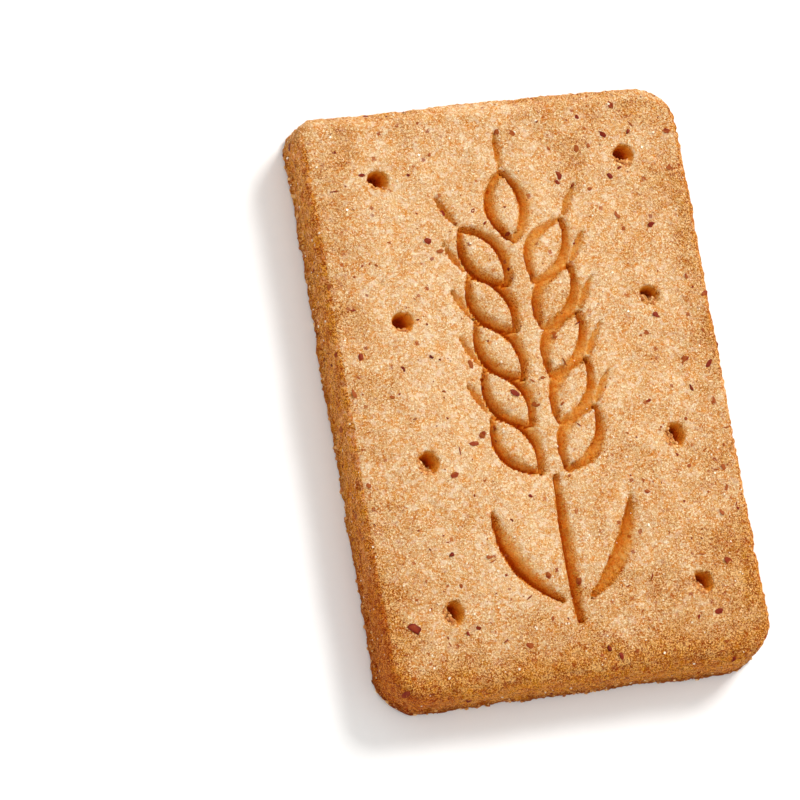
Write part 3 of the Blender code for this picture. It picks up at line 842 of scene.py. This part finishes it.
def baked_crust():
    """Short-dough crust baked on an oven band: matt and sandy, with pale grains of sugar and
    flour between toasted ones, orange smudges of fat and specks of bran."""
    material, tree, surface, in_mm = new_surface("baked whole grain crust")
    read = {}
    for name in ("browning", "side", "docked", "sunk", "foot", "scorched", "sole_shadow"):
        read[name] = add(tree, "ShaderNodeAttribute", out="Fac", attribute_name=name)
    for name, (size, detail, roughness, distortion) in CRUST_LUMPS.items():
        read[name] = add(tree, "ShaderNodeTexNoise", {
            "Vector": in_mm, "Scale": 1.0 / size, "Detail": detail, "Roughness": roughness,
            "Distortion": distortion}, out="Fac")
    read["hollow"] = add(tree, "ShaderNodeMath", (read["sunk"], read["docked"]), out=0,
                         operation="MAXIMUM")

    # How brown the crust is here, with clouds and blotches, which are strongest on the sides.
    read["brown"] = read["browning"]
    for name, most, where in (("clouds", 0.10, 1.0), ("blotches", 0.10, 1.0),
                              ("wall blotches", 0.42, read["side"])):
        change = add(tree, "ShaderNodeMapRange", (read[name], 0.3, 0.7, -most, most), out=0,
                     interpolation_type="SMOOTHSTEP")
        read["brown"] = add(tree, "ShaderNodeMath", (change, where, read["brown"]), out=0,
                            operation="MULTIPLY_ADD")
    share = {}
    for name, (source, *limits) in CRUST_SHARES.items():
        share[name] = add(tree, "ShaderNodeMapRange", (read[source], *limits), out=0,
                          interpolation_type="SMOOTHSTEP")

    base = add(tree, "ShaderNodeValToRGB", {"Fac": read["brown"]})
    ramp_stops(base, CRUST_TONES)
    wall_tone = painted(tree, tone("#c4570e"), ((tone("#ffb454"), "MIX", share["wall tones"]),))
    # Cream tops and dark gaps of the grain: partly painted highlight and painted shade.
    grain_tone_and_highlight = painted(tree, tone("#ffe9c0"), ((tone("#ffc274"), "MIX", share["browner grain"]),))
    gap_tone_and_shade = painted(tree, tone("#b85600"), ((tone("#8c2e00"), "MIX", share["browner gaps"]),))
    speck, speck_tone = bran_specks(tree, in_mm)
    open_face = (share["less grain on the side"], share["less grain in holes"],
                 share["less grain in grooves"])
    colour = painted(tree, base.outputs["Color"], (
        (wall_tone, "MIX", share["on the side"]),
        # Toasting: golden-orange spots of 0.45 and 1.1 mm, as bright as the crust round them.
        (tone("#dc8622"), "MIX", share["small toast"]),
        (tone("#e29a30"), "MIX", share["large toast"]),
        # Melted fat and sugar: honey patches of 1 and 2 mm, yellower but no darker.
        (tone("#fff0cf"), "MULTIPLY", share["small honey"]),
        (tone("#fff0cf"), "MULTIPLY", share["large honey"]),
        # Browner parts are smudged red-brown and cream in patches of 1 and 1.5 mm.
        (tone("#b44e14"), "MIX", share["smudges"], share["browner"]),
        (tone("#efbc7c"), "MIX", share["cream patches"], share["browner"],
         share["less cream on the side"]),
        # Sandy grain of 0.2 mm: cream where it stands up, dark golden in the gaps, its own tone and
        # partly painted highlight and painted shade on the bump's tops and gaps. It is crisper
        # where the crust is browner, and walls and hollows show less of the cream.
        (grain_tone_and_highlight, "MIX", share["grain on top"], *open_face, share["more grain where brown"], 0.85),
        (gap_tone_and_shade, "MIX", share["gaps"], share["more gaps where brown"], share["grain patches"],
         share["fewer gaps in holes"], 0.85),
        # Flour and starch: pale spots of 0.7 mm, thinly spread.
        (tone("#fde9cc"), "MIX", share["flour"], *open_face, share["less flour where brown"]),
        (speck_tone, "MIX", speck, 0.80),
        # Where the crust is browner, grit of 0.14 mm shows as dark gaps and golden points: its own
        # tones and partly painted shade in the gaps and painted highlight on the points.
        (tone("#7a2000"), "MIX", share["dark grit and shade"], share["browner"], share["grit patches"]),
        (tone("#ffcc88"), "MIX", share["golden grit and highlight"], share["browner"], share["grit patches"]),
        # The foot's edge lies next to the oven band.
        (tone("#a0541a"), "MIX", share["edge of the foot"]),
    ))

    # Browner crust is more saturated, and the walls are painted a little lighter: painted light on the
    # sides.
    colour = add(tree, "ShaderNodeHueSaturation", {
        "Saturation": share["saturation"], "Value": share["painted light on the side"], "Color": colour},
        out="Color")

    # Painted shade in grooves and holes, darker with depth.
    groove_painted_shade = add(tree, "ShaderNodeValToRGB", {"Fac": read["sunk"]})
    ramp_stops(groove_painted_shade, GROOVE_PAINTED_SHADE)
    hole_painted_shade = add(tree, "ShaderNodeValToRGB", {"Fac": read["docked"]})
    ramp_stops(hole_painted_shade, HOLE_PAINTED_SHADE)
    colour = painted(tree, colour, (
        # The near corner of the wall is scorched red-brown, and the bottom edge of the walls is
        # darkened with painted shadow.
        (SCORCH_TINT, "MULTIPLY", read["scorched"]),
        (SOLE_SHADOW_TINT, "MULTIPLY", read["sole_shadow"]),
        # Painted shade in the hollows: they turn golden, then red-brown with depth.
        (tone("#ffbe5a"), "MIX", share["painted shade at the mouth"]),
        (groove_painted_shade.outputs["Color"], "MULTIPLY", 1.0),
        (hole_painted_shade.outputs["Color"], "MULTIPLY", 1.0),
    ))

    # Relief too fine for the mesh: the grains, and grit between them.
    height = add(tree, "ShaderNodeMath", (read["grit"], 0.35, read["grain"]), out=0,
                 operation="MULTIPLY_ADD")
    bump = add(tree, "ShaderNodeBump", {
        "Height": height, "Strength": 1.0, "Distance": share["coarseness"]}, out="Normal")
    feed(tree, surface, {
        "Base Color": colour, "Roughness": share["roughness"], "IOR": 1.46,
        "Specular IOR Level": share["shine"], "Subsurface Weight": share["light through the dough"],
        "Subsurface Radius": SEEN_THROUGH, "Subsurface Scale": 1.0, "Normal": bump})
    return material


def flecked(name, operation, stops, streaks_in_mm, lumps_in_mm, strength, depth, inputs):
    """A material of many small pieces, each with its own tint, streaked and finely uneven."""
    material, tree, surface, in_mm = new_surface(name)
    streaks = add(tree, "ShaderNodeTexNoise", {
        "Vector": in_mm, "Scale": streaks_in_mm, "Detail": 3.0}, out="Fac")
    tint = add(tree, "ShaderNodeAttribute", out="Fac", attribute_name="tint")
    blend = add(tree, "ShaderNodeMath", (tint, streaks), out=0, operation=operation)
    ramp = add(tree, "ShaderNodeValToRGB", {"Fac": blend})
    ramp_stops(ramp, stops)
    fine = add(tree, "ShaderNodeTexNoise", {"Vector": in_mm, "Scale": lumps_in_mm}, out="Fac")
    bump = add(tree, "ShaderNodeBump", {
        "Height": fine, "Strength": strength, "Distance": depth}, out="Normal")
    feed(tree, surface, {"Base Color": ramp.outputs["Color"], "Normal": bump, **inputs})
    return material


def wheat_bran():
    """Flakes of wheat bran, toasted red-brown: smoother than the crumb, with a dull shine."""
    stops = ((0.35, "#5c1003"), (0.65, "#7a1f06"), (0.95, "#88320a"), (1.00, "#964816"))
    return flecked("toasted wheat bran", "ADD", stops, 2.5, 9.0, 0.3, 0.04 * MM, {
        "Roughness": 0.60, "IOR": 1.48, "Specular IOR Level": 0.15})


def loose_crumb():
    """Toasted crumb broken off at the foot and in the holes: paler than the crust, matt, dry."""
    stops = ((0.05, "#b4662a"), (0.25, "#cf8e44"), (0.45, "#e2ae6c"), (0.60, "#f4d4a2"))
    return flecked("toasted crumb", "MULTIPLY", stops, 3.0, 7.0, 0.5, 0.05 * MM, {
        "Roughness": 0.82})


def sugar_crystal():
    """Granulated sugar: clear crystals, frosted at the edges, that sparkle in the light."""
    material, tree, surface, in_mm = new_surface("granulated sugar")
    frost = add(tree, "ShaderNodeTexNoise", {"Vector": in_mm, "Scale": 6.0, "Detail": 1.0}, out="Fac")
    clear = add(tree, "ShaderNodeMapRange", {"Value": frost, "To Min": 0.12, "To Max": 0.4}, out=0)
    feed(tree, surface, {
        "Roughness": clear, "Base Color": tone("#ffeacb"), "Transmission Weight": 0.10, "IOR": 1.54})
    return material


def pale_sweep():
    """Matt white board under the biscuit, on a studio table."""
    material, tree, surface, in_mm = new_surface("matt white board")
    tooth = add(tree, "ShaderNodeTexNoise", {"Vector": in_mm, "Scale": 0.9, "Detail": 2.0}, out="Fac")
    shade = add(tree, "ShaderNodeMapRange", {"Value": tooth, "To Min": 0.94, "To Max": 0.97}, out=0)
    feed(tree, surface, {"Base Color": shade, "Roughness": 0.9, "Specular IOR Level": 0.1})
    return material


# What clings to the crust, scattered by Geometry Nodes.


# Small shapes, and the sizes that a scatter takes after its spread and before its seed.
LUMP = ("GeometryNodeMeshIcoSphere", {"Radius": 1.0, "Subdivisions": 1})
CRYSTAL = ("GeometryNodeMeshCube", {"Size": (1.5, 1.5, 1.5)})
SCATTER_SIZES = ("Per square metre", "Smallest", "Largest", "Flatness", "Length", "Sunk", "Roughen")
TINT_SEED = 77
SMALL_ONES_MORE = 2.4
TILT = 0.25

# Each scattered piece: its shape, the attribute that it spreads by, its sizes and its seed.
SCATTERS = {
    "foot_crumbs": (LUMP, "foot", (2.7e6, 0.07 * MM, 0.24 * MM, 0.8, 1.4, 0.35, 0.12 * MM), 4),
    "bran_flakes": (LUMP, "crust", (1.1e5, 0.08 * MM, 0.40 * MM, 0.14, 1.7, 0.08, 0.26 * MM), 9),
    "husk_slivers": (LUMP, "crust", (3.5e4, 0.05 * MM, 0.11 * MM, 0.5, 6.5, 0.10, 0.16 * MM), 15),
    "hole_crumbs": (LUMP, "shelf", (2.0e7, 0.08 * MM, 0.21 * MM, 0.8, 1.4, 0.10, 0.12 * MM), 18),
    "sugar_grains": (CRYSTAL, "crust", (1.0e5, 0.06 * MM, 0.14 * MM, 0.8, 1.3, 0.30, 0.02 * MM), 12),
}


def scatter_tree(name, shape_kind, shape_inputs, spread):
    """Scatters one small shape over a surface, as thickly as the named attribute says."""
    tree = bpy.data.node_groups.new(name, "GeometryNodeTree")
    kinds = {"Geometry": "NodeSocketGeometry", **{label: "NodeSocketFloat" for label in SCATTER_SIZES},
             "Seed": "NodeSocketInt", "Material": "NodeSocketMaterial"}
    for label, kind in kinds.items():
        tree.interface.new_socket(label, in_out="INPUT", socket_type=kind)
    tree.interface.new_socket("Geometry", in_out="OUTPUT", socket_type="NodeSocketGeometry")
    given = add(tree, "NodeGroupInput").outputs
    thick = add(tree, "GeometryNodeInputNamedAttribute", {"Name": spread}, data_type="FLOAT")
    density = add(tree, "ShaderNodeMath", {
        0: thick.outputs["Attribute"], 1: given["Per square metre"]}, operation="MULTIPLY")
    points = add(tree, "GeometryNodeDistributePointsOnFaces", {
        "Mesh": given["Geometry"], "Density": density.outputs["Value"], "Seed": given["Seed"]})
    draw = add(tree, "FunctionNodeRandomValue", {2: 0.0, 3: 1.0, "Seed": given["Seed"]},
               data_type="FLOAT").outputs[1]
    skewed = add(tree, "ShaderNodeMath", (draw, SMALL_ONES_MORE), out=0, operation="POWER")
    size = add(tree, "ShaderNodeMapRange", {
        "Value": skewed, "To Min": given["Smallest"], "To Max": given["Largest"]})
    size = size.outputs["Result"]
    stretch = add(tree, "FunctionNodeRandomValue", {
        2: 0.8, 3: given["Length"], "ID": 5, "Seed": given["Seed"]}, data_type="FLOAT")
    long_side = add(tree, "ShaderNodeMath", {0: size, 1: stretch.outputs[1]}, operation="MULTIPLY")
    thin_side = add(tree, "ShaderNodeMath", {0: size, 1: given["Flatness"]}, operation="MULTIPLY")
    scale = add(tree, "ShaderNodeCombineXYZ", {
        "X": long_side.outputs["Value"], "Y": size, "Z": thin_side.outputs["Value"]})
    spin = add(tree, "FunctionNodeRandomValue", {
        0: (-TILT, -TILT, 0.0), 1: (TILT, TILT, math.tau), "Seed": given["Seed"]},
        data_type="FLOAT_VECTOR").outputs[0]
    spin = add(tree, "FunctionNodeEulerToRotation", {"Euler": spin}).outputs["Rotation"]
    laid = add(tree, "FunctionNodeRotateRotation", {
        "Rotation": points.outputs["Rotation"], "Rotate By": spin}, rotation_space="LOCAL")
    shape = add(tree, shape_kind, shape_inputs)
    placed = add(tree, "GeometryNodeInstanceOnPoints", {
        "Points": points.outputs["Points"], "Instance": shape.outputs["Mesh"],
        "Rotation": laid.outputs["Rotation"], "Scale": scale.outputs["Vector"]})
    sink = add(tree, "ShaderNodeMath", {0: size, 1: given["Sunk"]}, operation="MULTIPLY")
    down = add(tree, "ShaderNodeMath", {0: sink.outputs["Value"], 1: -1.0}, operation="MULTIPLY")
    offset = add(tree, "ShaderNodeCombineXYZ", {"Z": down.outputs["Value"]})
    sunk = add(tree, "GeometryNodeTranslateInstances", {
        "Instances": placed.outputs["Instances"], "Translation": offset.outputs["Vector"]})
    tinted = add(tree, "GeometryNodeStoreNamedAttribute", {
        "Geometry": sunk.outputs["Instances"], "Name": "tint",
        "Value": add(tree, "FunctionNodeRandomValue", {2: 0.0, 3: 1.0, "Seed": TINT_SEED},
                     data_type="FLOAT").outputs[1]}, data_type="FLOAT", domain="INSTANCE")
    real = add(tree, "GeometryNodeRealizeInstances", {"Geometry": tinted.outputs["Geometry"]})
    rough = add(tree, "ShaderNodeTexNoise", {"Scale": 3800.0, "Detail": 1.0})
    centred = add(tree, "ShaderNodeVectorMath", {
        0: rough.outputs["Color"], 1: (0.5, 0.5, 0.5)}, operation="SUBTRACT")
    push = add(tree, "ShaderNodeVectorMath", {
        0: centred.outputs["Vector"], "Scale": given["Roughen"]}, operation="SCALE")
    uneven = add(tree, "GeometryNodeSetPosition", {
        "Geometry": real.outputs["Geometry"], "Offset": push.outputs["Vector"]})
    coated = add(tree, "GeometryNodeSetMaterial", {
        "Geometry": uneven.outputs["Geometry"], "Material": given["Material"]})
    add(tree, "NodeGroupOutput", {"Geometry": coated.outputs["Geometry"]})
    return tree


def scatter(name, source, material):
    """Runs a piece's scatter on a copy of the body and keeps the result as one plain mesh."""
    shape, spread, sizes, seed = SCATTERS[name]
    tree = scatter_tree(name, *shape, spread)
    host = bpy.data.objects.new(name, source.data.copy())
    bpy.context.scene.collection.objects.link(host)
    modifier = host.modifiers.new("scatter", "NODES")
    modifier.node_group = tree
    sockets = {item.name: item.identifier for item in tree.interface.items_tree
               if item.in_out == "INPUT"}
    for label, value in zip(SCATTER_SIZES, sizes):
        modifier[sockets[label]] = value
    modifier[sockets["Seed"]] = seed
    modifier[sockets["Material"]] = material
    bpy.context.view_layer.update()
    graph = bpy.context.evaluated_depsgraph_get()
    result = bpy.data.meshes.new_from_object(host.evaluated_get(graph))
    host.modifiers.clear()
    host.data = result
    result.name = name
    result.materials.clear()
    result.materials.append(material)
    points = np.empty(len(result.vertices) * 3)
    result.vertices.foreach_get("co", points)
    points = points.reshape(-1, 3)
    for axis in range(3):
        low = cad_box[0][axis] + PIECE_ROOM
        points[:, axis] = np.clip(points[:, axis], low, cad_box[1][axis] - PIECE_ROOM)
    result.vertices.foreach_set("co", points.ravel())
    result.update()
    return host


# The largest flakes of husk, listed one by one: place, length, width, turn, how light each is and
# the way that its broken side faces.
HUSKS = (
    (-18.05 * MM, -24.53 * MM, 1.56 * MM, 1.34 * MM, -12, 0.40, 236),
    (-11.02 * MM, 4.36 * MM, 0.54 * MM, 0.40 * MM, -40, -0.15, 80),
    (-12.60 * MM, -17.20 * MM, 0.74 * MM, 0.46 * MM, 60, 0.20, 200),
    (17.30 * MM, -2.10 * MM, 0.84 * MM, 0.40 * MM, 100, 0.25, 300),
    (15.40 * MM, 26.90 * MM, 0.70 * MM, 0.46 * MM, 20, 0.30, 150),
    (2.80 * MM, -29.10 * MM, 0.78 * MM, 0.54 * MM, 140, 0.20, 30),
)
HUSK_BREAK = 0.28
HUSK_RIM = (0.55, 0.95)
HUSK_RIM_DARKER = 0.45
HUSK_RAGGED = 0.20
HUSK_LEVEL = 0.6
HUSK_THICKNESS = 0.15 * MM
HUSK_SUNK = 0.01 * MM


def lay_husks(body, material):
    """Ragged, slightly domed flakes that lie in the crust, each broken off straight on one side
    and darker round its rim."""
    bm = bmesh.new()
    layer = bm.verts.layers.float.new("tint")
    for k, (x, y, length, width, turn, light, broken_way) in enumerate(HUSKS):
        _, place, normal, _ = body.ray_cast(Vector((x, y, 2 * THICKNESS)), Vector((0, 0, -1)))
        up = Vector((0, 0, 1))
        lean = up.rotation_difference(normal.lerp(up, HUSK_LEVEL).normalized())
        flake = bmesh.ops.create_icosphere(bm, subdivisions=3, radius=1.0)["verts"]
        broken = Vector((math.cos(math.radians(broken_way)), math.sin(math.radians(broken_way))))
        for vert in flake:
            spot = vert.co.xy - broken * max(0.0, vert.co.xy.dot(broken) - HUSK_BREAK)
            rim = max(spot.length, 1 - HUSK_BREAK + spot.dot(broken))
            ragged = 1 + HUSK_RAGGED * noise.noise(Vector((spot.x, spot.y, 3.7 * k + 1.3)) * 1.7)
            flat = Vector((spot.x * length, spot.y * width, 0)) * 0.5 * ragged
            flat.z = vert.co.z * HUSK_THICKNESS * (0.8 + 0.2 * noise.noise(vert.co * 1.3 + place / MM))
            flat.rotate(Euler((0, 0, math.radians(turn))))
            flat.rotate(lean)
            vert.co = place + flat - normal * HUSK_SUNK
            vert.co.z = min(vert.co.z, cad_box[1][2] - PIECE_ROOM)
            vert[layer] = light - HUSK_RIM_DARKER * float(smooth_step(*HUSK_RIM, rim))
    mesh = bpy.data.meshes.new("husk_flakes")
    bm.to_mesh(mesh)
    bm.free()
    mesh.materials.append(material)
    mesh.shade_smooth()
    flakes = bpy.data.objects.new("husk_flakes", mesh)
    bpy.context.scene.collection.objects.link(flakes)
    return flakes


# Camera, light and floor.


# The biscuit as the camera sees it: its turns in degrees, and its place from the camera.
SEEN_TURNS = (-12.1, 16.2, 6.5)
SEEN_PLACE = (12.99 * MM, 0.05 * MM, -565.0 * MM)
FRAME_PIXELS = 800
FOCAL_PIXELS = 5240
SENSOR_WIDTH = 36.0

FLOOR_HALF = 1.6
SKY_COLOUR = (1.0, 0.99, 0.97, 1.0)
SKY_STRENGTH = 0.84
WINDOW_PLACE = (0.65, 0.61, 0.72)
WINDOW_SIZE = (0.36, 0.36)
WINDOW_WATTS = 11.5
WINDOW_COLOUR = (1.0, 0.985, 0.96)


def place_camera():
    """The photograph's view of the biscuit, found from its holes and outline."""
    turns = Euler([math.radians(a) for a in SEEN_TURNS], "XYZ")
    seen = Matrix.Translation(Vector(SEEN_PLACE)) @ turns.to_matrix().to_4x4()
    data = bpy.data.cameras.new("view")
    data.sensor_width = SENSOR_WIDTH
    data.lens = FOCAL_PIXELS / FRAME_PIXELS * SENSOR_WIDTH
    data.clip_start = 0.02
    data.clip_end = 10.0
    camera = bpy.data.objects.new("view", data)
    camera.matrix_world = seen.inverted()
    bpy.context.scene.collection.objects.link(camera)
    bpy.context.scene.camera = camera


def hang_window():
    """A small soft window, which gives the biscuit its light side and its soft shadow."""
    data = bpy.data.lights.new("window", "AREA")
    data.shape = "RECTANGLE"
    data.size, data.size_y = WINDOW_SIZE
    data.energy = WINDOW_WATTS
    data.color = WINDOW_COLOUR
    light = bpy.data.objects.new("window", data)
    light.location = WINDOW_PLACE
    light.rotation_euler = (-Vector(WINDOW_PLACE)).to_track_quat("-Z", "Y").to_euler()
    bpy.context.scene.collection.objects.link(light)


def set_stage():
    mesh = bpy.data.meshes.new("floor")
    corners = [(x * FLOOR_HALF, y * FLOOR_HALF, 0) for x, y in ((-1, -1), (1, -1), (1, 1), (-1, 1))]
    mesh.from_pydata(corners, [], [(0, 1, 2, 3)])
    mesh.materials.append(pale_sweep())
    floor = bpy.data.objects.new("floor", mesh)
    bpy.context.scene.collection.objects.link(floor)
    world = bpy.data.worlds.new("studio")
    world.use_nodes = True
    bpy.context.scene.world = world
    background = world.node_tree.nodes["Background"]
    background.inputs["Color"].default_value = SKY_COLOUR
    background.inputs["Strength"].default_value = SKY_STRENGTH
    hang_window()
    bpy.context.scene.view_settings.view_transform = "Standard"


def dress(piece, replaced=None):
    if replaced:
        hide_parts(replaced)
    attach(piece, "root")


def make_scene():
    noise.seed_set(WANDER_SEED)
    body = make_baked_body(baked_crust())
    dress(body, "biscuit")
    dress(scatter("foot_crumbs", body, loose_crumb()))
    dress(scatter("bran_flakes", body, wheat_bran()))
    bpy.context.view_layer.update()
    dress(lay_husks(body, wheat_bran()))
    dress(scatter("husk_slivers", body, wheat_bran()))
    dress(scatter("hole_crumbs", body, loose_crumb()))
    dress(scatter("sugar_grains", body, sugar_crystal()))


place_camera()
set_stage()
make_scene()
